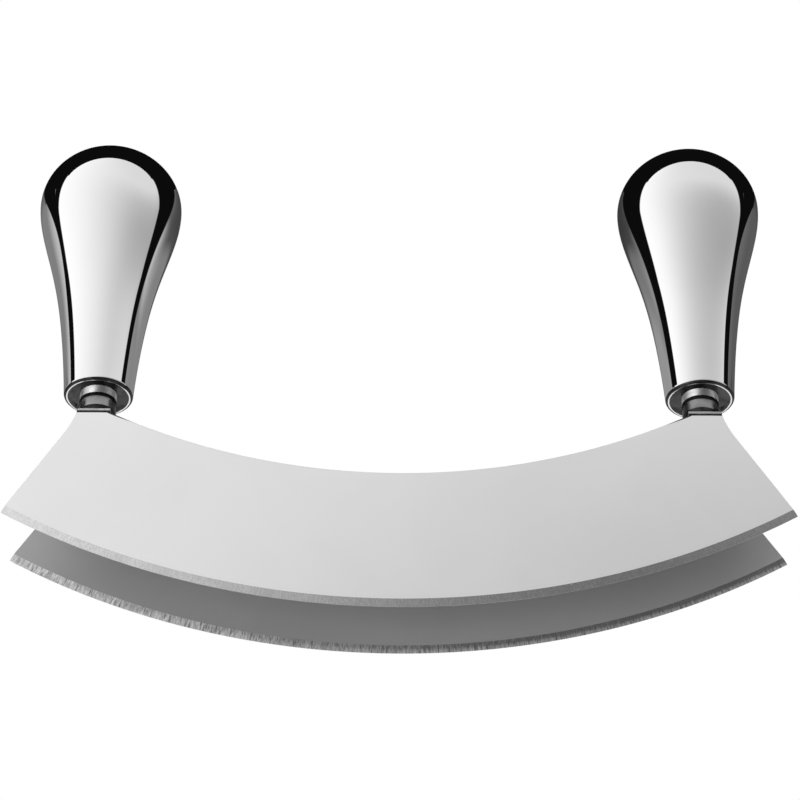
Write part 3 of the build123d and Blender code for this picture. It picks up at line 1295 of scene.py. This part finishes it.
@dataclass
class Mezzaluna:
    """The whole tool, built in the order in which it is put together."""

    polish: SteelFinish = SteelFinish(
        "mirror_polished_steel", grey(0.88), grey(0.86), 0.008, roughness_spread=0.012, lines_scale=900.0,
        scratch_scale=500.0, scratch_share=0.05, grain_depth=0.0001 * MM, cloud_scale=45.0,
    )
    # Painted shade: the recess inside the neck is near black, standing for the shade in the hollow.
    recess: SteelFinish = SteelFinish(
        "painted_shade_recess_steel", grey(0.07), grey(0.03), 0.12, lines_scale=2500.0, scratch_share=0.2, cloud_scale=200.0
    )
    root: SteelFinish = SteelFinish(
        "flared_root_steel", grey(0.62), grey(0.5), 0.34, lines_scale=3000.0, scratch_scale=1800.0,
        scratch_share=0.25, scratch_tint=0.25, lines_tint=0.15, grain_depth=0.001 * MM, cloud_scale=300.0, flare=0.7,
    )
    # Painted shade: a near-black copy of the steel, laid where shade falls on the lip's crease, on two bands of the
    # stem and on the folds' foot.
    painted_shade: SteelFinish = SteelFinish(
        "painted_shade_steel", grey(0.05), grey(0.02), 0.3, lines_scale=2500.0, cloud_scale=300.0
    )
    # flank_shade paints shade on the turned stem's left and right sides.
    turned: SteelFinish = SteelFinish(
        "turned_stem_steel", grey(0.34), grey(0.24), 0.16, roughness_spread=0.08, stretch=(0.1, 0.1, 1.0),
        lines_scale=4000.0, scratch_scale=2500.0, scratch_share=0.25, scratch_tint=0.3, grain_depth=0.001 * MM,
        cloud_scale=150.0, flank_shade=0.85,
    )
    # brink_shade paints shade along the blade's top edge near the tabs.
    satin: SteelFinish = SteelFinish(
        "satin_blade_steel", grey(0.9), grey(0.88), 0.28, roughness_spread=0.03, stretch=(0.04, 1.0, 1.0),
        lines_scale=3500.0, scratch_scale=1500.0, scratch_share=0.1, grain_depth=0.0008 * MM, cloud_scale=22.0,
        brink_shade=1.0,
    )
    # Painted shade: the blades' inner faces get a dark, half-metallic copy of the blade steel, standing for the
    # shade between the two blades.
    inner: SteelFinish = SteelFinish(
        "painted_shade_inner_steel", grey(0.32), grey(0.3), 0.4, roughness_spread=0.03, metallic=0.35,
        stretch=(0.04, 1.0, 1.0), lines_scale=3500.0, scratch_scale=1500.0, scratch_share=0.1,
        grain_depth=0.001 * MM, cloud_scale=22.0,
    )
    ground: SteelFinish = SteelFinish(
        "ground_bevel_steel", grey(0.84), grey(0.76), 0.2, stretch=(1.0, 0.2, 0.2), polar=True,
        spread_along_arc=0.5, lines_scale=3600.0, scratch_scale=2400.0, scratch_tint=0.12, lines_tint=0.2,
        cloud_scale=120.0,
    )
    # strip_shade paints a dark strip along the inner bevel's top, partly grinding marks and partly painted shade
    # that grows towards the right end.
    coarse: SteelFinish = SteelFinish(
        "coarse_bevel_steel", grey(0.86), grey(0.7), 0.3, roughness_spread=0.08, metallic=0.9,
        stretch=(1.0, 0.16, 0.16), polar=True, spread_along_arc=0.6, lines_scale=3000.0, scratch_scale=2000.0,
        scratch_share=0.45, scratch_tint=0.55, lines_tint=0.55, grain_depth=0.004 * MM, cloud_scale=120.0,
        strip_shade=0.85,
    )
    # Painted highlight: the folds' upper part gets a lighter, less metallic copy of the blade steel that catches the
    # lamp.
    bend: SteelFinish = SteelFinish(
        "fold_painted_highlight_steel", grey(0.66), grey(0.5), 0.3, roughness_spread=0.08, metallic=0.45,
        stretch=(0.1, 1.0, 1.0), lines_scale=2500.0, scratch_scale=1500.0, scratch_tint=0.3, cloud_scale=200.0,
    )
    cut: SteelFinish = SteelFinish(
        "cut_edge_steel", grey(0.6), grey(0.5), 0.32, lines_scale=2500.0, grain_depth=0.003 * MM
    )
    fastener: SteelFinish = SteelFinish(
        "fastener_steel", (0.66, 0.66, 0.67), (0.56, 0.56, 0.57), 0.22, roughness_spread=0.08, lines_scale=2000.0,
        cloud_scale=200.0,
    )

    def build(self) -> None:
        """Makes the finishes, then each piece."""
        grain, wear = grain_group(), wear_group()

        def made(*finishes: SteelFinish) -> list[Material]:
            """Builds finishes, in order."""
            return [finish.build(grain, wear) for finish in finishes]

        polish, painted_shade, fastener = made(self.polish, self.painted_shade, self.fastener)
        stem = [*made(self.root, self.recess, self.turned), painted_shade]
        sheet = [*made(self.satin, self.ground, self.cut, self.inner, self.bend, self.coarse), painted_shade]
        Blade(Facing.FRONT, "front_blade_sheet", "front_blade").build(sheet)
        Blade(Facing.REAR, "rear_blade_sheet", "rear_blade").build(sheet)
        for side in Side:
            fasteners = ClampFasteners(side)
            fasteners.washer(fastener)
            fasteners.screw(fastener)
            handle = Handle(side)
            handle.plug(stem)
            handle.shell(polish, painted_shade)


def main() -> None:
    """Builds the studio and the mezzaluna."""
    logging.basicConfig(level=logging.INFO, format="%(message)s")
    bpy.context.scene.view_settings.view_transform = "Standard"
    Mezzaluna().build()
    Bench.clear()
    studio = Studio()
    studio.camera()
    studio.lamps()
    studio.floor()
    studio.card()
    studio.roof()
    studio.divider()
    studio.surroundings()


if __name__ == "__main__":
    main()
